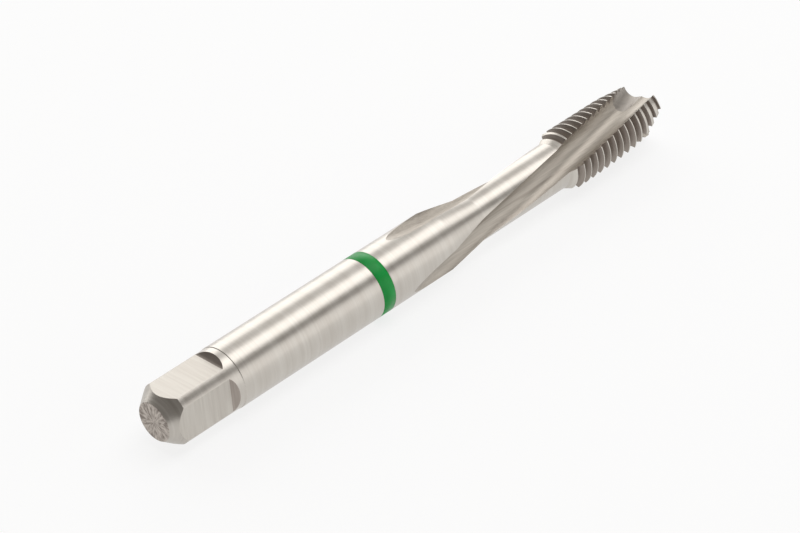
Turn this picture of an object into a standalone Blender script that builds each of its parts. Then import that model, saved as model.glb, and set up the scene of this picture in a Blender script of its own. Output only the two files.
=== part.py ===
# A machine tap for an M10 x 1.5 thread, lying on a surface, as one ground bar of steel with a lacquer ring.
#
# The tap lies along X with its tip at +X. Z is up, and the surface it lies on is Z = 0.
# Positions along the tap are given as a distance from the shank's end, in millimetres.
# An angle about the axis starts at +Z and grows towards -Y, so a right-hand thread gains angle with +X.

from math import acos, atan, cos, pi, radians, sin, tan

import bmesh
import bpy
from mathutils import Matrix, Vector

MM = 0.001

# Overall sizes and the shank
TOTAL_LENGTH = 104.3
SHANK_DIAMETER = 10.0
SHANK_LENGTH = 56.7              # from the end to the start of the taper
END_FACE_DIAMETER = 6.2
END_CHAMFER_ANGLE = 36.7         # between the chamfer and the axis

# The driving square, ground on a stretch that is turned a little smaller than the shank
SQUARE_ACROSS_FLATS = 8.0
SQUARE_LENGTH = 11.1
SQUARE_SEAT_DIAMETER = 9.82
SQUARE_SEAT_LENGTH = 13.1
FLAT_RUNOUT_RADIUS = 2.4         # corner radius of the wheel that ground the flats
FLAT_RUNOUT_START = 28.0         # slope where the run-out leaves the flat, degrees
FLAT_RUNOUT_END = 75.0

# The lacquer ring that marks the kind of material the tap is for
RING_START = 40.96
RING_WIDTH = 2.37
RING_THICKNESS = 0.08
RING_CLEARANCE = 0.02

# The taper and the neck behind the thread
SHOULDER_STEP = 0.03             # radial step where the ground shank ends
TAPER_BREAK = 58.9
TAPER_BREAK_DIAMETER = 9.32
NECK_START = 64.2
NECK_DIAMETER = 7.76

# The thread
THREAD_DIAMETER = 10.0
PITCH = 1.5
THREAD_LENGTH = 21.4             # from the foot of its back chamfer to the tip
THREAD_DEPTH = 0.92
CREST_WIDTH = 0.17
FLANK_ANGLE = 30.0
BACK_CHAMFER_LENGTH = 2.1
LEAD_LENGTH = 6.9                # the tapered first threads, at the tip
TIP_DIAMETER = 8.8
THREAD_PHASE = 72.0              # angle of the groove at the foot of the back chamfer

# The three left-hand flutes
FLUTES = 3
CORE_DIAMETER = 4.7
FLUTE_RADIUS = 2.35
FLUTE_LEAD = 167.5               # length of one full turn
FLUTE_TIP_ANGLE = 6.6            # where the first flute's middle meets the tip face
FLUTE_LIFT = 67.3                # where the grinding wheel starts to leave the tap
FLUTE_WHEEL_RADIUS = 111.0

# The spiral point, a second cut into each flute's cutting side at the tip
POINT_RADIUS = 1.86              # the rounded edges of its trough
POINT_FLOOR_WIDTH = 2.1          # flat floor between the rounded edges
POINT_CENTRE_DISTANCE = 3.9      # from the axis to the middle of the cutting-side edge, at the tip face
POINT_ADVANCE = 32.5             # how far that edge lies ahead of the flute's middle, degrees
POINT_SKEW = 25.6                # between the cut and the axis, seen from outside
POINT_DIVE = 6.0                 # between the cut and the axis, seen from the side
POINT_CUT_LENGTH = 9.0

# Facets
TURNED_STEPS = 48
GROOVE_STEPS_PER_TURN = 48
FLUTE_SECTION_STEPS = 26
TROUGH_EDGE_STEPS = 12
HELIX_STEPS = 22
RUNOUT_STEPS = 14
FLAT_RUNOUT_STEPS = 5
CUTTER_MARGIN = 1.0              # how far a cutter reaches past what it cuts
GROOVE_OVERCUT = 0.1             # the same for the thread groove, above the crests
MERGE_DISTANCE = 0.00001         # metres
SHARP_ANGLE = 30.0               # facets that meet at less than this are shaded as one surface

shank_radius = SHANK_DIAMETER / 2
thread_radius = THREAD_DIAMETER / 2
neck_radius = NECK_DIAMETER / 2
core_radius = CORE_DIAMETER / 2
axis_height = max(shank_radius, thread_radius)
thread_start = TOTAL_LENGTH - THREAD_LENGTH


def along(position):
    """X of a place on the tap, given its distance from the shank's end."""
    return (position - TOTAL_LENGTH / 2) * MM


def outward(angle):
    """Unit vector that points away from the axis at an angle about it, in degrees."""
    return Vector((0.0, -sin(radians(angle)), cos(radians(angle))))


def place(position, distance, angle):
    """A point at a distance from the shank's end, a distance from the axis and an angle."""
    return Vector((along(position), 0.0, 0.0)) + outward(angle) * distance * MM


def material(name, colour, roughness, metallic):
    made = bpy.data.materials.new(name)
    made.use_nodes = True
    shader = made.node_tree.nodes["Principled BSDF"]
    shader.inputs["Base Color"].default_value = (*colour, 1.0)
    shader.inputs["Roughness"].default_value = roughness
    shader.inputs["Metallic"].default_value = metallic
    return made


def add_object(name, mesh, collection):
    made = bpy.data.objects.new(name, mesh)
    made.location = (0.0, 0.0, axis_height * MM)
    collection.objects.link(made)
    return made


def mesh_from(bm, name):
    mesh = bpy.data.meshes.new(name)
    bm.to_mesh(mesh)
    bm.free()
    return mesh


def turned(name, profile, collection, finish, closed=False):
    """A solid of revolution about X from (position, radius) points that run towards the tip."""
    bm = bmesh.new()
    points = [bm.verts.new((along(position), 0.0, radius * MM)) for position, radius in profile]
    for start, end in zip(points, points[1:]):
        bm.edges.new((start, end))
    if closed:
        bm.edges.new((points[-1], points[0]))
    made = add_object(name, mesh_from(bm, name), collection)
    made.data.materials.append(finish)
    screw = made.modifiers.new("Turn", "SCREW")
    screw.axis = "X"
    screw.steps = TURNED_STEPS
    screw.render_steps = TURNED_STEPS
    screw.use_merge_vertices = True
    screw.merge_threshold = MERGE_DISTANCE
    screw.use_normal_calculate = True
    screw.use_normal_flip = closed
    return made


def cutter(name, bm, collection):
    """Turn a bmesh into a hidden cutter whose faces point out."""
    bmesh.ops.recalc_face_normals(bm, faces=bm.faces)
    made = add_object(name, mesh_from(bm, name), collection)
    made.hide_render = True
    made.display_type = "WIRE"
    return made


def cut(target, tool):
    boolean = target.modifiers.new("Cut " + tool.name, "BOOLEAN")
    boolean.operation = "DIFFERENCE"
    boolean.solver = "EXACT"
    boolean.object = tool


def turn_about_axis(bm, angle):
    """Turn a whole bmesh about the tap's axis by an angle in degrees."""
    bmesh.ops.rotate(bm, verts=bm.verts, cent=(0, 0, 0), matrix=Matrix.Rotation(radians(angle), 3, "X"))


def blank_profile():
    """The turned outline of the tap, from the middle of one end face to the middle of the other."""
    seat_radius = SQUARE_SEAT_DIAMETER / 2
    end_radius = END_FACE_DIAMETER / 2
    chamfer_length = (seat_radius - end_radius) / tan(radians(END_CHAMFER_ANGLE))
    seat_step = shank_radius - seat_radius
    groove_radius = shank_radius - RING_THICKNESS - RING_CLEARANCE
    ring_end = RING_START + RING_WIDTH
    taper_top = shank_radius - SHOULDER_STEP
    return [
        (0.0, 0.0),
        (0.0, end_radius),
        (chamfer_length, seat_radius),
        (SQUARE_SEAT_LENGTH, seat_radius),
        (SQUARE_SEAT_LENGTH + seat_step, shank_radius),
        (RING_START - RING_CLEARANCE, shank_radius),
        (RING_START - RING_CLEARANCE, groove_radius),
        (ring_end + RING_CLEARANCE, groove_radius),
        (ring_end + RING_CLEARANCE, shank_radius),
        (SHANK_LENGTH - SHOULDER_STEP, shank_radius),
        (SHANK_LENGTH, taper_top),
        (TAPER_BREAK, TAPER_BREAK_DIAMETER / 2),
        (NECK_START, neck_radius),
        (thread_start, neck_radius),
        (thread_start + BACK_CHAMFER_LENGTH, thread_radius),
        (TOTAL_LENGTH - LEAD_LENGTH, thread_radius),
        (TOTAL_LENGTH, TIP_DIAMETER / 2),
        (TOTAL_LENGTH, 0.0),
    ]


def ring_profile():
    inner = shank_radius - RING_THICKNESS
    end = RING_START + RING_WIDTH
    return [(RING_START, inner), (RING_START, shank_radius), (end, shank_radius), (end, inner)]


def swept_face(bm, outline):
    """A face from a closed list of points, ready to be swept."""
    return bm.faces.new([bm.verts.new(point) for point in outline])


def close_ends(bm):
    """Fill the open ends of a swept tube."""
    open_edges = [edge for edge in bm.edges if edge.is_boundary]
    bmesh.ops.holes_fill(bm, edges=open_edges, sides=0)


def thread_groove_cutter(collection):
    """The helical groove between the threads, as a trapezium swept one pitch a turn."""
    widening = tan(radians(FLANK_ANGLE))
    outer_half = (PITCH - CREST_WIDTH) / 2 + GROOVE_OVERCUT * widening
    root_half = outer_half - (THREAD_DEPTH + GROOVE_OVERCUT) * widening
    start = thread_start - PITCH
    turns = (TOTAL_LENGTH + PITCH - start) / PITCH
    steps = round(turns * GROOVE_STEPS_PER_TURN)
    section = [
        (start - root_half, thread_radius - THREAD_DEPTH),
        (start + root_half, thread_radius - THREAD_DEPTH),
        (start + outer_half, thread_radius + GROOVE_OVERCUT),
        (start - outer_half, thread_radius + GROOVE_OVERCUT),
    ]
    bm = bmesh.new()
    points = [bm.verts.new(place(position, radius, THREAD_PHASE)) for position, radius in section]
    edges = [bm.edges.new((points[i], points[(i + 1) % 4])) for i in range(4)]
    bmesh.ops.spin(
        bm,
        geom=points + edges,
        cent=(0, 0, 0),
        axis=(1, 0, 0),
        angle=steps * 2 * pi / GROOVE_STEPS_PER_TURN,
        dvec=(PITCH * MM / GROOVE_STEPS_PER_TURN, 0, 0),
        steps=steps,
    )
    close_ends(bm)
    return cutter("thread_groove", bm, collection)


def flute_cutter(index, collection):
    """One flute: a round section swept along a left-hand helix, then lifted out on the wheel's own arc."""
    centre_radius = core_radius + FLUTE_RADIUS
    degrees_per_mm = 360.0 / FLUTE_LEAD
    lift_angle = FLUTE_TIP_ANGLE + (TOTAL_LENGTH - FLUTE_LIFT) * degrees_per_mm
    centre = place(FLUTE_LIFT, centre_radius, lift_angle)
    radial = outward(lift_angle)
    sideways = Vector((1, 0, 0)).cross(radial)
    helix_angle = atan(2 * pi * centre_radius / FLUTE_LEAD)
    heading = Vector((1, 0, 0)) * cos(helix_angle) - sideways * sin(helix_angle)
    across = heading.cross(radial)

    bm = bmesh.new()
    section = []
    for step in range(FLUTE_SECTION_STEPS):
        turn = 2 * pi * step / FLUTE_SECTION_STEPS
        section.append(bm.verts.new(centre + (radial * cos(turn) + across * sin(turn)) * FLUTE_RADIUS * MM))
    loop = [bm.edges.new((a, b)) for a, b in zip(section, section[1:] + section[:1])]

    helix_length = TOTAL_LENGTH + 2 * CUTTER_MARGIN - FLUTE_LIFT
    bmesh.ops.spin(
        bm,
        geom=section + loop,
        cent=(0, 0, 0),
        axis=(-1, 0, 0),
        angle=radians(helix_length * degrees_per_mm),
        dvec=(helix_length * MM / HELIX_STEPS, 0, 0),
        steps=HELIX_STEPS,
    )

    arc_radius = FLUTE_WHEEL_RADIUS - FLUTE_RADIUS
    lift = shank_radius - core_radius + CUTTER_MARGIN
    bmesh.ops.spin(
        bm,
        geom=section + loop,
        cent=centre + radial * arc_radius * MM,
        axis=-across,
        angle=acos(1 - lift / arc_radius),
        steps=RUNOUT_STEPS,
    )
    close_ends(bm)
    turn_about_axis(bm, index * 360.0 / FLUTES)
    return cutter(f"flute_{index + 1}", bm, collection)


def spiral_point_cutter(index, collection):
    """The slanting trough that moves the cutting edge back at the tip, so chips are pushed ahead."""
    angle = FLUTE_TIP_ANGLE - POINT_ADVANCE
    radial = outward(angle)
    sideways = Vector((1, 0, 0)).cross(radial)
    tip_centre = place(TOTAL_LENGTH, POINT_CENTRE_DISTANCE, angle)
    backward = Vector((-1, 0, 0)) + sideways * tan(radians(POINT_SKEW)) - radial * tan(radians(POINT_DIVE))
    start = tip_centre - backward * CUTTER_MARGIN * MM
    bm = bmesh.new()
    outline = []
    for side, shift in ((1, 0.0), (-1, POINT_FLOOR_WIDTH)):
        for step in range(TROUGH_EDGE_STEPS + 1):
            turn = pi * step / TROUGH_EDGE_STEPS
            reach = (radial * cos(turn) + sideways * sin(turn)) * -side * POINT_RADIUS
            outline.append(start + (reach + sideways * shift) * MM)
    face = swept_face(bm, outline)
    swept = bmesh.ops.extrude_face_region(bm, geom=[face])["geom"]
    moved = [item for item in swept if isinstance(item, bmesh.types.BMVert)]
    bmesh.ops.translate(bm, verts=moved, vec=backward * (POINT_CUT_LENGTH + CUTTER_MARGIN) * MM)
    turn_about_axis(bm, index * 360.0 / FLUTES)
    return cutter(f"spiral_point_{index + 1}", bm, collection)


def flat_cutter(index, collection):
    """One flat of the square: a slab whose far end curves up as the grinding wheel's corner does."""
    flat = SQUARE_ACROSS_FLATS / 2
    top = shank_radius + CUTTER_MARGIN
    first = radians(FLAT_RUNOUT_START)
    last = radians(FLAT_RUNOUT_END)
    outline = [(-CUTTER_MARGIN, top), (-CUTTER_MARGIN, flat)]
    for step in range(FLAT_RUNOUT_STEPS + 1):
        slope = first + (last - first) * step / FLAT_RUNOUT_STEPS
        outline.append((
            SQUARE_LENGTH + FLAT_RUNOUT_RADIUS * (sin(slope) - sin(first)),
            flat + FLAT_RUNOUT_RADIUS * (cos(first) - cos(slope)),
        ))
    outline.append((outline[-1][0], top))
    half_width = (shank_radius + CUTTER_MARGIN) * MM
    bm = bmesh.new()
    face = swept_face(bm, [Vector((along(x), -half_width, z * MM)) for x, z in outline])
    swept = bmesh.ops.extrude_face_region(bm, geom=[face])["geom"]
    moved = [item for item in swept if isinstance(item, bmesh.types.BMVert)]
    bmesh.ops.translate(bm, verts=moved, vec=(0, 2 * half_width, 0))
    turn_about_axis(bm, index * 90.0)
    return cutter(f"square_flat_{index + 1}", bm, collection)


def settle(made):
    """Apply an object's modifiers and shade its round surfaces smooth."""
    depsgraph = bpy.context.evaluated_depsgraph_get()
    mesh = bpy.data.meshes.new_from_object(made.evaluated_get(depsgraph))
    mesh.shade_smooth()
    mesh.set_sharp_from_angle(angle=radians(SHARP_ANGLE))
    made.modifiers.clear()
    made.data = mesh


def main():
    for old in list(bpy.data.objects):
        bpy.data.objects.remove(old, do_unlink=True)

    parts = bpy.data.collections.new("thread_tap")
    cutters = bpy.data.collections.new("cutters")
    bpy.context.scene.collection.children.link(parts)
    bpy.context.scene.collection.children.link(cutters)

    steel = material("ground_steel", (0.62, 0.60, 0.57), 0.3, 1.0)
    lacquer = material("green_lacquer", (0.02, 0.28, 0.05), 0.3, 0.0)

    body = turned("tap_body", blank_profile(), parts, steel)
    for index in range(4):
        cut(body, flat_cutter(index, cutters))
    for index in range(FLUTES):
        cut(body, flute_cutter(index, cutters))
        cut(body, spiral_point_cutter(index, cutters))
    cut(body, thread_groove_cutter(cutters))

    ring = turned("colour_ring", ring_profile(), parts, lacquer, closed=True)

    settle(body)
    settle(ring)


main()
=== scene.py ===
from math import acos, atan, cos, pi, radians, sin, tan

import bmesh
import bpy
from mathutils import Matrix, Quaternion, Vector


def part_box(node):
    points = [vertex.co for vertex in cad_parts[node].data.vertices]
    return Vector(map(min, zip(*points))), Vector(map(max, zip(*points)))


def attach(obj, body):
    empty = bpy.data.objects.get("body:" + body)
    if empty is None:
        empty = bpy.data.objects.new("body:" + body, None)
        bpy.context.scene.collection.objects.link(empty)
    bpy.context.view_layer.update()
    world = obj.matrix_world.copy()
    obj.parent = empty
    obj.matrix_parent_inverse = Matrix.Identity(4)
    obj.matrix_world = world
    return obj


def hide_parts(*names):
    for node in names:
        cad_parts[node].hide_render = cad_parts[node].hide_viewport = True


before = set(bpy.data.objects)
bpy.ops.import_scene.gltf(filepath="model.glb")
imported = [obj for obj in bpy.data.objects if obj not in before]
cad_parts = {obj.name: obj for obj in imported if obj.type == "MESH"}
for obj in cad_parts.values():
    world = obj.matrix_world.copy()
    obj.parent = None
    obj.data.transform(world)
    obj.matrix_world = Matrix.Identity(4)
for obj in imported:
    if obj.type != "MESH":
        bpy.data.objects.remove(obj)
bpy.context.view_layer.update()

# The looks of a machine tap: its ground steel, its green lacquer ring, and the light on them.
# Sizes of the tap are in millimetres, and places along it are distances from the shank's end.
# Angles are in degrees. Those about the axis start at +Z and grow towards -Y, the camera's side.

MM = 0.001

# Sizes that the frame gives
ring_low, ring_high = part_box("colour_ring")
tap_low, tap_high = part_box("tap_body")
total_length = (tap_high.x - tap_low.x) / MM
shank_radius = (tap_high.z - tap_low.z) / MM / 2
axis_height = shank_radius
ring_start = (ring_low.x - tap_low.x) / MM
ring_end = (ring_high.x - tap_low.x) / MM

# The blank, as turned and ground
SHANK_LENGTH = 56.7
END_FACE_RADIUS = 3.1
END_CHAMFER_ANGLE = 36.7
SQUARE_SEAT_RADIUS = 4.91
SQUARE_SEAT_LENGTH = 13.1
RING_THICKNESS = 0.08
RING_CLEARANCE = 0.02
RING_SWELL = 0.01                # how far the ring's edges are rounded off
SHOULDER_STEP = 0.03
TAPER_BREAK = 58.9
TAPER_BREAK_RADIUS = 4.66
NECK_START = 64.2
NECK_RADIUS = 3.88
TIP_RADIUS = 4.4
EDGE_BREAK = 0.05                # the small bevel on the edges of the blank

# The driving square
SQUARE_ACROSS_FLATS = 8.0
SQUARE_LENGTH = 11.1
FLAT_RUNOUT_RADIUS = 2.4
FLAT_RUNOUT_START = 28.0
FLAT_RUNOUT_END = 75.0

# The thread
PITCH = 1.5
THREAD_LENGTH = 21.4
THREAD_DEPTH = 0.92
CREST_WIDTH = 0.17
FLANK_ANGLE = 30.0
BACK_CHAMFER_LENGTH = 2.1
LEAD_LENGTH = 6.9
THREAD_PHASE = 72.0

# The flutes and the spiral point
FLUTES = 3
CORE_RADIUS = 2.35
FLUTE_RADIUS = 2.35
FLUTE_LEAD = 167.5
FLUTE_TIP_ANGLE = 6.6
FLUTE_LIFT = 67.3
FLUTE_WHEEL_RADIUS = 111.0
POINT_RADIUS = 1.86
POINT_FLOOR_WIDTH = 2.1
POINT_CENTRE_DISTANCE = 3.9
POINT_ADVANCE = 32.5
POINT_SKEW = 25.6
POINT_DIVE = 6.0
POINT_CUT_LENGTH = 9.0

# Fineness of the modelled surfaces
TURNED_STEPS = 180
GROOVE_STEPS_PER_TURN = 120
FLUTE_SECTION_STEPS = 72
TROUGH_EDGE_STEPS = 36
HELIX_STEPS = 64
RUNOUT_STEPS = 48
FLAT_RUNOUT_STEPS = 16
CUTTER_MARGIN = 1.0              # how far a cutter reaches past what it cuts
GROOVE_OVERCUT = 0.1             # the same for the thread groove, above the crests
MERGE_DISTANCE = 0.0001
SPAN_TOLERANCE = 0.001           # for finding which surface of the blank a face is on
ROOT_TOLERANCE = 0.01            # the same for the floor of the thread groove
SHARP_ANGLE = 7.0                # steeper edges than this stay crisp
RING_SHARP_ANGLE = 60.0

# The camera, as fitted to the photograph
CAMERA_LOCATION = (-0.2608, -0.2779, 0.2629)
CAMERA_DIRECTION = (0.5622, 0.6057, -0.5631)
CAMERA_ROLL = -5.2
CAMERA_LENS = 139.1

# The light, in metres: long lamps parallel to the tap, shifted towards its tip
LAMP_DISTANCE = 1.6
LAMP_LENGTH = 3.2
LAMP_SHIFT = 1.25
WORLD_COLOUR = (0.25, 0.24, 0.23)

# The floor, in metres
FLOOR_SIZE = 3.0
PAPER_GREY = 0.94
PAPER_ROUGHNESS = 0.9
PLAIN_WHITE = 0.8                # how much of what the camera and the metal see of it is plain white

# Each lamp's name, angle about the axis, width as an angle, and brightness
LAMPS = (
    ("far_softbox", -66.0, 44.0, 1.85),
    ("far_fill", -27.5, 36.0, 0.5),
    ("top_softbox", 9.5, 35.0, 1.95),
    ("front_softbox", 74.0, 40.0, 1.05),
)

# Grain of the finishes: lines per metre along X, Y and Z, and depths of relief
ROUND_LINES = (3200.0, 90.0, 90.0)
CROSS_LINES = (2600.0, 120.0, 120.0)
LENGTH_LINES = (60.0, 4200.0, 4200.0)
BROAD_LINES = 0.22               # how dense the broad lines are, beside the fine ones
LINE_DEPTH = 0.01
STAR_DEPTH = 0.1
STAR_SPOKES = 3.3
STAR_BREAKS = 260.0              # how fast the spokes change on their way out
LACQUER_SPECKLE = 900.0

thread_start = total_length - THREAD_LENGTH


def along(position):
    """X of a place on the tap."""
    return (position - total_length / 2) * MM


def outward(angle):
    """Unit vector away from the axis, at an angle about it."""
    return Vector((0.0, -sin(radians(angle)), cos(radians(angle))))


def place(position, distance, angle):
    """A point at a position, a distance from the axis and an angle, while the axis is still at Z = 0."""
    return Vector((along(position), 0.0, 0.0)) + outward(angle) * distance * MM


# Surfaces of the tap, in the order of its material slots

SURFACES = ("ground_shank", "turned_end", "end_face", "ground_flat", "flat_runout", "ground_flute",
            "spiral_point", "thread_flank", "thread_root", "lead_crest")


def surface(name):
    """Material slot of a surface."""
    return SURFACES.index(name)


def add_object(name, data):
    """A new object in the scene."""
    made = bpy.data.objects.new(name, data)
    bpy.context.scene.collection.objects.link(made)
    return made


# Shapes

def set_surface(faces, name):
    """Give faces the finish of a surface."""
    for face in faces:
        face.material_index = surface(name)


def close_ends(bm):
    """Fill the open ends of a swept tube."""
    open_edges = [edge for edge in bm.edges if edge.is_boundary]
    return bmesh.ops.holes_fill(bm, edges=open_edges, sides=0)["faces"]


def piece_from(bm, name):
    """An object whose place is in its mesh, with the tap's axis at its height above the floor."""
    bmesh.ops.recalc_face_normals(bm, faces=bm.faces)
    bmesh.ops.translate(bm, verts=bm.verts, vec=(0.0, 0.0, axis_height * MM))
    mesh = bpy.data.meshes.new(name)
    bm.to_mesh(mesh)
    bm.free()
    return add_object(name, mesh)


def turned(profile, closed=False):
    """A solid of revolution about X.

    The profile has a position, a radius and a surface at each point, and the surface runs to the next point.
    """
    bm = bmesh.new()
    points = [
        bm.verts.new((along(position), 0.0, radius * MM))
        for position, radius, _ in profile
    ]
    pairs = list(zip(points, points[1:] + points[:1]))
    if not closed:
        pairs.pop()
    edges = [bm.edges.new(pair) for pair in pairs]
    bmesh.ops.spin(
        bm,
        geom=points + edges,
        cent=(0.0, 0.0, 0.0),
        axis=(1.0, 0.0, 0.0),
        angle=2 * pi,
        steps=TURNED_STEPS,
        use_merge=True,
    )
    bmesh.ops.remove_doubles(bm, verts=bm.verts, dist=MERGE_DISTANCE * MM)
    spans = [(start[0], end[0], start[2]) for start, end in zip(profile, profile[1:])]
    for face in bm.faces:
        middle = face.calc_center_median().x / MM + total_length / 2
        for low, high, name in spans:
            if low - SPAN_TOLERANCE <= middle <= high + SPAN_TOLERANCE and name:
                face.material_index = surface(name)
                break
    return bm


def blank():
    """The tap before the square, the flutes and the thread are cut."""
    chamfer_length = (SQUARE_SEAT_RADIUS - END_FACE_RADIUS) / tan(radians(END_CHAMFER_ANGLE))
    seat_step = shank_radius - SQUARE_SEAT_RADIUS
    groove_radius = shank_radius - RING_THICKNESS - RING_CLEARANCE
    shank = "ground_shank"
    return turned([
        (0.0, 0.0, "end_face"),
        (0.0, END_FACE_RADIUS - EDGE_BREAK, "end_face"),
        (EDGE_BREAK, END_FACE_RADIUS + EDGE_BREAK / 2, "turned_end"),
        (chamfer_length, SQUARE_SEAT_RADIUS, shank),
        (SQUARE_SEAT_LENGTH, SQUARE_SEAT_RADIUS, shank),
        (SQUARE_SEAT_LENGTH + seat_step, shank_radius, shank),
        (ring_start - RING_CLEARANCE, shank_radius, shank),
        (ring_start - RING_CLEARANCE, groove_radius, shank),
        (ring_end + RING_CLEARANCE, groove_radius, shank),
        (ring_end + RING_CLEARANCE, shank_radius, shank),
        (SHANK_LENGTH - SHOULDER_STEP, shank_radius, shank),
        (SHANK_LENGTH, shank_radius - SHOULDER_STEP, shank),
        (TAPER_BREAK, TAPER_BREAK_RADIUS, shank),
        (NECK_START, NECK_RADIUS, shank),
        (thread_start, NECK_RADIUS, "lead_crest"),
        (thread_start + BACK_CHAMFER_LENGTH, shank_radius, "lead_crest"),
        (total_length - LEAD_LENGTH, shank_radius, "lead_crest"),
        (total_length, TIP_RADIUS, "end_face"),
        (total_length, 0.0, None),
    ])


def thread_groove():
    """The helical groove between the threads, as a trapezium swept one pitch a turn."""
    widening = tan(radians(FLANK_ANGLE))
    outer_half = (PITCH - CREST_WIDTH) / 2 + GROOVE_OVERCUT * widening
    root_half = outer_half - (THREAD_DEPTH + GROOVE_OVERCUT) * widening
    root = shank_radius - THREAD_DEPTH
    top = shank_radius + GROOVE_OVERCUT
    start = thread_start - PITCH
    turns = (total_length + PITCH - start) / PITCH
    steps = round(turns * GROOVE_STEPS_PER_TURN)
    section = [(-root_half, root), (root_half, root), (outer_half, top), (-outer_half, top)]
    names = ["thread_root", "thread_flank", "thread_flank", "thread_flank"]
    bm = bmesh.new()
    points = [bm.verts.new(place(start + offset, radius, THREAD_PHASE)) for offset, radius in section]
    edges = [bm.edges.new((a, b)) for a, b in zip(points, points[1:] + points[:1])]
    bmesh.ops.spin(
        bm,
        geom=points + edges,
        cent=(0.0, 0.0, 0.0),
        axis=(1.0, 0.0, 0.0),
        angle=steps * 2 * pi / GROOVE_STEPS_PER_TURN,
        dvec=(PITCH * MM / GROOVE_STEPS_PER_TURN, 0.0, 0.0),
        steps=steps,
    )
    root_limit = (root + ROOT_TOLERANCE) * MM
    for face in bm.faces:
        at_root = all(Vector((0.0, v.co.y, v.co.z)).length < root_limit for v in face.verts)
        face.material_index = surface("thread_root" if at_root else "thread_flank")
    set_surface(close_ends(bm), "thread_flank")
    return bm


def flute(index):
    """One flute: a round section swept along a left-hand helix, then lifted out on the wheel's own arc."""
    centre_radius = CORE_RADIUS + FLUTE_RADIUS
    degrees_per_mm = 360.0 / FLUTE_LEAD
    lift_angle = FLUTE_TIP_ANGLE + (total_length - FLUTE_LIFT) * degrees_per_mm
    centre = place(FLUTE_LIFT, centre_radius, lift_angle)
    radial = outward(lift_angle)
    sideways = Vector((1.0, 0.0, 0.0)).cross(radial)
    helix_angle = atan(2 * pi * centre_radius / FLUTE_LEAD)
    heading = Vector((1.0, 0.0, 0.0)) * cos(helix_angle) - sideways * sin(helix_angle)
    across = heading.cross(radial)

    bm = bmesh.new()
    section = []
    for step in range(FLUTE_SECTION_STEPS):
        turn = 2 * pi * step / FLUTE_SECTION_STEPS
        section.append(bm.verts.new(centre + (radial * cos(turn) + across * sin(turn)) * FLUTE_RADIUS * MM))
    loop = [bm.edges.new((a, b)) for a, b in zip(section, section[1:] + section[:1])]

    helix_length = total_length + 2 * CUTTER_MARGIN - FLUTE_LIFT
    bmesh.ops.spin(
        bm,
        geom=section + loop,
        cent=(0.0, 0.0, 0.0),
        axis=(-1.0, 0.0, 0.0),
        angle=radians(helix_length * degrees_per_mm),
        dvec=(helix_length * MM / HELIX_STEPS, 0.0, 0.0),
        steps=HELIX_STEPS,
    )

    arc_radius = FLUTE_WHEEL_RADIUS - FLUTE_RADIUS
    lift = shank_radius - CORE_RADIUS + CUTTER_MARGIN
    bmesh.ops.spin(
        bm,
        geom=section + loop,
        cent=centre + radial * arc_radius * MM,
        axis=-across,
        angle=acos(1 - lift / arc_radius),
        steps=RUNOUT_STEPS,
    )
    close_ends(bm)
    set_surface(bm.faces, "ground_flute")
    turn_about_axis(bm, index * 360.0 / FLUTES)
    return bm


def spiral_point(index):
    """The slanting trough that moves the cutting edge back at the tip."""
    angle = FLUTE_TIP_ANGLE - POINT_ADVANCE
    radial = outward(angle)
    sideways = Vector((1.0, 0.0, 0.0)).cross(radial)
    tip_centre = place(total_length, POINT_CENTRE_DISTANCE, angle)
    backward = Vector((-1, 0, 0)) + sideways * tan(radians(POINT_SKEW)) - radial * tan(radians(POINT_DIVE))
    start = tip_centre - backward * CUTTER_MARGIN * MM
    bm = bmesh.new()
    outline = []
    for side, shift in ((1, 0.0), (-1, POINT_FLOOR_WIDTH)):
        for step in range(TROUGH_EDGE_STEPS + 1):
            turn = pi * step / TROUGH_EDGE_STEPS
            reach = (radial * cos(turn) + sideways * sin(turn)) * -side * POINT_RADIUS
            outline.append(bm.verts.new(start + (reach + sideways * shift) * MM))
    extrude(bm, bm.faces.new(outline), backward * (POINT_CUT_LENGTH + CUTTER_MARGIN) * MM)
    set_surface(bm.faces, "spiral_point")
    turn_about_axis(bm, index * 360.0 / FLUTES)
    return bm


def extrude(bm, face, way):
    """Sweep a face straight along a vector."""
    swept = bmesh.ops.extrude_face_region(bm, geom=[face])["geom"]
    bmesh.ops.translate(bm, verts=[item for item in swept if isinstance(item, bmesh.types.BMVert)], vec=way)


def turn_about_axis(bm, angle):
    """Turn a cutter to its own flute or flat."""
    turn = Matrix.Rotation(radians(angle), 3, "X")
    bmesh.ops.rotate(bm, verts=bm.verts, cent=(0, 0, 0), matrix=turn)


def square_flat(index):
    """One flat of the square: a slab whose far end curves up as the grinding wheel's corner does."""
    flat = SQUARE_ACROSS_FLATS / 2
    top = shank_radius + CUTTER_MARGIN
    first = radians(FLAT_RUNOUT_START)
    last = radians(FLAT_RUNOUT_END)
    outline = [(-CUTTER_MARGIN, top), (-CUTTER_MARGIN, flat)]
    for step in range(FLAT_RUNOUT_STEPS + 1):
        slope = first + (last - first) * step / FLAT_RUNOUT_STEPS
        outline.append((
            SQUARE_LENGTH + FLAT_RUNOUT_RADIUS * (sin(slope) - sin(first)),
            flat + FLAT_RUNOUT_RADIUS * (cos(first) - cos(slope)),
        ))
    outline.append((outline[-1][0], top))
    half_width = (shank_radius + CUTTER_MARGIN) * MM
    bm = bmesh.new()
    face = bm.faces.new([bm.verts.new((along(x), -half_width, z * MM)) for x, z in outline])
    extrude(bm, face, (0.0, 2 * half_width, 0.0))
    set_surface(bm.faces, "ground_flat")
    runout = [f for f in bm.faces if f.calc_center_median().x > along(SQUARE_LENGTH)]
    set_surface(runout, "flat_runout")
    turn_about_axis(bm, index * 90.0)
    return bm


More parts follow.
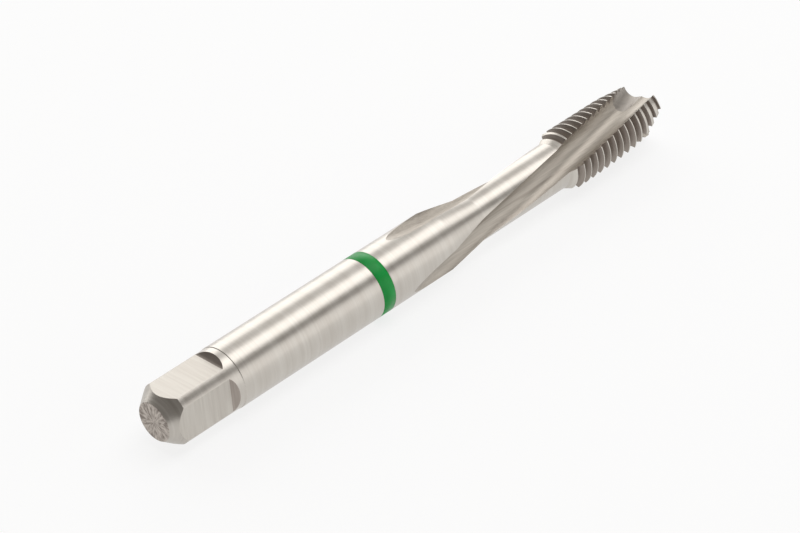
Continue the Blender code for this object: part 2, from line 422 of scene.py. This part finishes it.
def cut(target, bm, name):
    """Take a cutter's shape out of the target once it settles. The cut faces keep the cutter's surfaces."""
    tool = piece_from(bm, name)
    for finish in target.data.materials:
        tool.data.materials.append(finish)
    boolean = target.modifiers.new(name, "BOOLEAN")
    boolean.operation = "DIFFERENCE"
    boolean.solver = "EXACT"
    boolean.object = tool
    return tool


def settle(piece, sharp_angle):
    """Apply a piece's modifiers, shade it smooth, and keep an edge where two of its surfaces meet."""
    depsgraph = bpy.context.evaluated_depsgraph_get()
    mesh = bpy.data.meshes.new_from_object(piece.evaluated_get(depsgraph))
    piece.modifiers.clear()
    piece.data = mesh
    mesh.shade_smooth()
    mesh.set_sharp_from_angle(angle=radians(sharp_angle))
    bm = bmesh.new()
    bm.from_mesh(mesh)
    for edge in bm.edges:
        if len({face.material_index for face in edge.link_faces}) > 1:
            edge.smooth = False
    bm.to_mesh(mesh)
    bm.free()
    weighted = piece.modifiers.new("Even normals", "WEIGHTED_NORMAL")
    weighted.keep_sharp = True
    depsgraph = bpy.context.evaluated_depsgraph_get()
    piece.data = bpy.data.meshes.new_from_object(piece.evaluated_get(depsgraph))
    piece.modifiers.clear()


# Materials

def node(tree, kind, place_x, place_y, **values):
    """A shader node at a place in its tree, with its settings."""
    made = tree.nodes.new(kind)
    made.location = (place_x, place_y)
    for name, value in values.items():
        setattr(made, name, value)
    return made


def new_finish(name):
    """A material, its node tree and its shader."""
    made = bpy.data.materials.new(name)
    made.use_nodes = True
    tree = made.node_tree
    return made, tree, tree.nodes["Principled BSDF"]


def add_relief(tree, shader, height, strength, depth):
    """Bump from a height, on the shader's normal."""
    relief = node(tree, "ShaderNodeBump", -400, -300)
    relief.inputs["Strength"].default_value = strength
    relief.inputs["Distance"].default_value = depth * MM
    tree.links.new(height, relief.inputs["Height"])
    tree.links.new(relief.outputs["Normal"], shader.inputs["Normal"])


def add_roughness(tree, shader, tone, smooth, rough):
    """Roughness that follows a tone from smooth to rough."""
    span = node(tree, "ShaderNodeMapRange", -400, -50)
    span.inputs["To Min"].default_value = smooth
    span.inputs["To Max"].default_value = rough
    tree.links.new(tone, span.inputs["Value"])
    tree.links.new(span.outputs["Result"], shader.inputs["Roughness"])


def add_two_tones(tree, shader, tone, dark, light):
    """Base colour that follows a tone from dark to light."""
    colour = node(tree, "ShaderNodeMix", -400, 200, data_type="RGBA")
    colour.inputs["A"].default_value = (*dark, 1.0)
    colour.inputs["B"].default_value = (*light, 1.0)
    tree.links.new(tone, colour.inputs["Factor"])
    tree.links.new(colour.outputs["Result"], shader.inputs["Base Color"])


def ground_lines_group():
    """Fine and broad grinding lines on Object coordinates: a Height for bump, and a Tone of 0 to 1."""
    group = bpy.data.node_groups.new("grinding_lines", "ShaderNodeTree")
    group.interface.new_socket("Spacing", in_out="INPUT", socket_type="NodeSocketVector")
    group.interface.new_socket("Height", in_out="OUTPUT", socket_type="NodeSocketFloat")
    group.interface.new_socket("Tone", in_out="OUTPUT", socket_type="NodeSocketFloat")
    start = node(group, "NodeGroupInput", -800, 0)
    end = node(group, "NodeGroupOutput", 400, 0)
    scaled = node(group, "ShaderNodeVectorMath", -600, 0, operation="MULTIPLY")
    coordinates = node(group, "ShaderNodeTexCoord", -800, 200)
    group.links.new(coordinates.outputs["Object"], scaled.inputs[0])
    group.links.new(start.outputs["Spacing"], scaled.inputs[1])
    fine = node(group, "ShaderNodeTexNoise", -400, 150)
    fine.inputs["Scale"].default_value = 1.0
    fine.inputs["Detail"].default_value = 3.0
    fine.inputs["Roughness"].default_value = 0.65
    broad = node(group, "ShaderNodeTexNoise", -400, -150)
    broad.inputs["Scale"].default_value = BROAD_LINES
    broad.inputs["Detail"].default_value = 2.0
    group.links.new(scaled.outputs[0], fine.inputs["Vector"])
    group.links.new(scaled.outputs[0], broad.inputs["Vector"])
    both = node(group, "ShaderNodeMix", -200, 0, data_type="FLOAT")
    both.inputs["Factor"].default_value = 0.5
    group.links.new(fine.outputs["Fac"], both.inputs["A"])
    group.links.new(broad.outputs["Fac"], both.inputs["B"])
    tone = node(group, "ShaderNodeMapRange", 0, -100)
    tone.inputs["From Min"].default_value = 0.36
    tone.inputs["From Max"].default_value = 0.64
    group.links.new(both.outputs["Result"], tone.inputs["Value"])
    group.links.new(both.outputs["Result"], end.inputs["Height"])
    group.links.new(tone.outputs["Result"], end.inputs["Tone"])
    return group


def steel(name, lines, dark, light, spacing, roughness, bump):
    """Ground steel: two tones, lines at a spacing along each axis, and a range of roughness."""
    made, tree, shader = new_finish(name)
    shader.inputs["Metallic"].default_value = 1.0
    marks = node(tree, "ShaderNodeGroup", -800, 0, node_tree=lines)
    marks.inputs["Spacing"].default_value = spacing
    add_two_tones(tree, shader, marks.outputs["Tone"], dark, light)
    add_roughness(tree, shader, marks.outputs["Tone"], *roughness)
    add_relief(tree, shader, marks.outputs["Height"], bump, LINE_DEPTH)
    return made


def star_face(name, dark, light):
    """The rough end face: light spokes that run out from its middle over dark blotches."""
    made, tree, shader = new_finish(name)
    shader.inputs["Metallic"].default_value = 1.0
    coordinates = node(tree, "ShaderNodeTexCoord", -1600, 0)
    centred = node(tree, "ShaderNodeMapping", -1400, 0, vector_type="POINT")
    centred.inputs["Location"].default_value = (0.0, 0.0, -axis_height * MM)
    centred.inputs["Scale"].default_value = (0.0, 1.0, 1.0)
    tree.links.new(coordinates.outputs["Object"], centred.inputs["Vector"])
    way = node(tree, "ShaderNodeVectorMath", -1200, 100, operation="NORMALIZE")
    tree.links.new(centred.outputs["Vector"], way.inputs[0])
    near = node(tree, "ShaderNodeVectorMath", -1200, -100, operation="SCALE")
    near.inputs["Scale"].default_value = STAR_BREAKS
    tree.links.new(centred.outputs["Vector"], near.inputs[0])
    joined = node(tree, "ShaderNodeVectorMath", -1000, 0, operation="ADD")
    tree.links.new(way.outputs[0], joined.inputs[0])
    tree.links.new(near.outputs[0], joined.inputs[1])
    spokes = node(tree, "ShaderNodeTexNoise", -800, 0)
    spokes.inputs["Scale"].default_value = STAR_SPOKES
    spokes.inputs["Detail"].default_value = 2.0
    spokes.inputs["Roughness"].default_value = 0.6
    tree.links.new(joined.outputs[0], spokes.inputs["Vector"])
    colour = node(tree, "ShaderNodeValToRGB", -500, 200)
    colour.color_ramp.elements[0].position = 0.36
    colour.color_ramp.elements[0].color = (*dark, 1.0)
    colour.color_ramp.elements[1].position = 0.60
    colour.color_ramp.elements[1].color = (*light, 1.0)
    tree.links.new(spokes.outputs["Fac"], colour.inputs["Fac"])
    tree.links.new(colour.outputs["Color"], shader.inputs["Base Color"])
    shader.inputs["Roughness"].default_value = 0.55
    add_relief(tree, shader, spokes.outputs["Fac"], 0.35, STAR_DEPTH)
    return made


def finishes():
    """One finish for each of the tap's surfaces, in the order of its material slots. The hollows carry
    painted shade as darker tones of the same steel.
    """
    lines = ground_lines_group()
    dark = (0.49, 0.455, 0.41)
    light = (0.61, 0.58, 0.53)
    shank_dark = (0.51, 0.475, 0.43)
    shank_light = (0.58, 0.55, 0.505)
    cone_dark = (0.42, 0.39, 0.35)
    cone_light = (0.56, 0.53, 0.485)
    star_dark = (0.25, 0.215, 0.19)
    star_light = (0.56, 0.51, 0.46)
    # Flutes and spiral-point troughs: the same steel in darker tones, as painted shade of these hollows
    flute_shade_dark = (0.34, 0.305, 0.265)
    flute_shade_light = (0.52, 0.48, 0.425)
    pocket_shade_dark = (0.34, 0.31, 0.28)
    pocket_shade_light = (0.42, 0.39, 0.35)
    # Thread grooves and the flats' run-outs: the same steel in dark brown tones, as painted shade and
    # painted dim reflection
    brown_shade_dark = (0.27, 0.235, 0.205)
    brown_shade_light = (0.40, 0.355, 0.32)
    return [
        steel("ground_shank", lines, shank_dark, shank_light, ROUND_LINES, (0.28, 0.33), 0.1),
        steel("turned_end", lines, cone_dark, cone_light, ROUND_LINES, (0.30, 0.40), 0.4),
        star_face("end_face", star_dark, star_light),
        steel("ground_flat", lines, dark, light, CROSS_LINES, (0.34, 0.46), 0.6),
        steel("flat_runout", lines, brown_shade_dark, brown_shade_light, CROSS_LINES, (0.32, 0.42), 0.8),
        steel("ground_flute", lines, flute_shade_dark, flute_shade_light, LENGTH_LINES, (0.42, 0.54), 0.6),
        steel("spiral_point", lines, pocket_shade_dark, pocket_shade_light, LENGTH_LINES, (0.5, 0.56), 0.3),
        steel("thread_flank", lines, brown_shade_dark, brown_shade_light, ROUND_LINES, (0.42, 0.52), 0.3),
        steel("thread_root", lines, brown_shade_dark, brown_shade_light, ROUND_LINES, (0.42, 0.52), 0.3),
        steel("lead_crest", lines, dark, light, ROUND_LINES, (0.30, 0.40), 0.3),
    ]


def lacquer():
    """Green lacquer with a faint speckle."""
    made, tree, shader = new_finish("green_lacquer")
    shader.inputs["Specular IOR Level"].default_value = 0.25
    coordinates = node(tree, "ShaderNodeTexCoord", -1000, 0)
    speckle = node(tree, "ShaderNodeTexNoise", -800, 0)
    speckle.inputs["Scale"].default_value = LACQUER_SPECKLE
    speckle.inputs["Detail"].default_value = 3.0
    tree.links.new(coordinates.outputs["Object"], speckle.inputs["Vector"])
    add_two_tones(tree, shader, speckle.outputs["Fac"], (0.0, 0.22, 0.025), (0.004, 0.33, 0.06))
    add_roughness(tree, shader, speckle.outputs["Fac"], 0.25, 0.45)
    return made


# The pieces

def build_tap():
    """The tap: its blank, with the square, the flutes, the points and the thread cut out of it."""
    tap = piece_from(blank(), "ground_tap")
    for finish in finishes():
        tap.data.materials.append(finish)
    tools = [cut(tap, square_flat(index), f"flat_wheel_{index + 1}") for index in range(4)]
    for index in range(FLUTES):
        tools.append(cut(tap, flute(index), f"flute_wheel_{index + 1}"))
        tools.append(cut(tap, spiral_point(index), f"point_wheel_{index + 1}"))
    tools.append(cut(tap, thread_groove(), "thread_wheel"))
    settle(tap, SHARP_ANGLE)
    for tool in tools:
        bpy.data.objects.remove(tool, do_unlink=True)
    return tap


def build_ring():
    """The lacquer band, with its outer edges rounded off."""
    inner = shank_radius - RING_THICKNESS
    bm = turned([
        (ring_start, inner, None),
        (ring_start, shank_radius - RING_SWELL, None),
        (ring_start + RING_SWELL, shank_radius, None),
        (ring_end - RING_SWELL, shank_radius, None),
        (ring_end, shank_radius - RING_SWELL, None),
        (ring_end, inner, None),
    ], closed=True)
    ring = piece_from(bm, "lacquer_ring")
    ring.data.materials.append(lacquer())
    settle(ring, RING_SHARP_ANGLE)
    return ring


# Light, floor and camera

def softbox(name, angle, width, radiance):
    """A long rectangular lamp parallel to the tap, at an angle about its axis and as wide as an angle."""
    across = 2 * LAMP_DISTANCE * tan(radians(width / 2))
    lamp = bpy.data.lights.new(name, "AREA")
    lamp.shape = "RECTANGLE"
    lamp.size = LAMP_LENGTH
    lamp.size_y = across
    lamp.energy = radiance * pi * LAMP_LENGTH * across
    away = outward(angle)
    side = Vector((1.0, 0.0, 0.0))
    turn = Matrix((side, away.cross(side), away)).transposed()
    centre = away * LAMP_DISTANCE + side * LAMP_SHIFT
    add_object(name, lamp).matrix_world = Matrix.Translation(centre) @ turn.to_4x4()


def white_paper():
    """The floor: pale paper that the camera and the metal see nearly white, with the tap's shadow on it."""
    paper, tree, shader = new_finish("white_paper")
    shader.inputs["Base Color"].default_value = (PAPER_GREY, PAPER_GREY, PAPER_GREY, 1.0)
    shader.inputs["Roughness"].default_value = PAPER_ROUGHNESS
    shader.inputs["Specular IOR Level"].default_value = 0.0
    path = node(tree, "ShaderNodeLightPath", -800, 400)
    seen = node(tree, "ShaderNodeMath", -600, 400, operation="ADD")
    tree.links.new(path.outputs["Is Camera Ray"], seen.inputs[0])
    tree.links.new(path.outputs["Is Glossy Ray"], seen.inputs[1])
    any_seen = node(tree, "ShaderNodeMath", -400, 400, operation="ADD", use_clamp=True)
    tree.links.new(seen.outputs[0], any_seen.inputs[0])
    tree.links.new(path.outputs["Is Transmission Ray"], any_seen.inputs[1])
    share = node(tree, "ShaderNodeMath", -200, 400, operation="MULTIPLY")
    share.inputs[1].default_value = PLAIN_WHITE
    tree.links.new(any_seen.outputs[0], share.inputs[0])
    white = node(tree, "ShaderNodeEmission", 0, 300)
    mixed = node(tree, "ShaderNodeMixShader", 300, 100)
    tree.links.new(share.outputs[0], mixed.inputs["Fac"])
    tree.links.new(shader.outputs["BSDF"], mixed.inputs[1])
    tree.links.new(white.outputs["Emission"], mixed.inputs[2])
    tree.links.new(mixed.outputs["Shader"], tree.nodes["Material Output"].inputs["Surface"])
    return paper


def build_stage():
    """The world, the lamps and the floor."""
    world = bpy.data.worlds.new("studio")
    bpy.context.scene.world = world
    world.use_nodes = True
    background = world.node_tree.nodes["Background"]
    background.inputs["Color"].default_value = (*WORLD_COLOUR, 1.0)

    for name, angle, width, radiance in LAMPS:
        softbox(name, angle, width, radiance)

    bm = bmesh.new()
    bmesh.ops.create_grid(bm, x_segments=4, y_segments=4, size=FLOOR_SIZE)
    mesh = bpy.data.meshes.new("floor")
    bm.to_mesh(mesh)
    bm.free()
    floor = add_object("floor", mesh)
    floor.data.materials.append(white_paper())


def build_camera():
    """The photograph's view of the tap."""
    camera = bpy.data.cameras.new("camera")
    camera.lens = CAMERA_LENS
    camera.clip_start = 0.01
    made = add_object("camera", camera)
    level = Vector(CAMERA_DIRECTION).to_track_quat("-Z", "Y")
    made.rotation_mode = "QUATERNION"
    made.rotation_quaternion = level @ Quaternion((0.0, 0.0, 1.0), radians(CAMERA_ROLL))
    made.location = CAMERA_LOCATION
    bpy.context.scene.camera = made


def main():
    tap = build_tap()
    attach(tap, "root")
    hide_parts("tap_body")

    ring = build_ring()
    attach(ring, "root")
    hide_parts("colour_ring")

    build_stage()
    build_camera()
    bpy.context.scene.view_settings.view_transform = "Standard"


main()
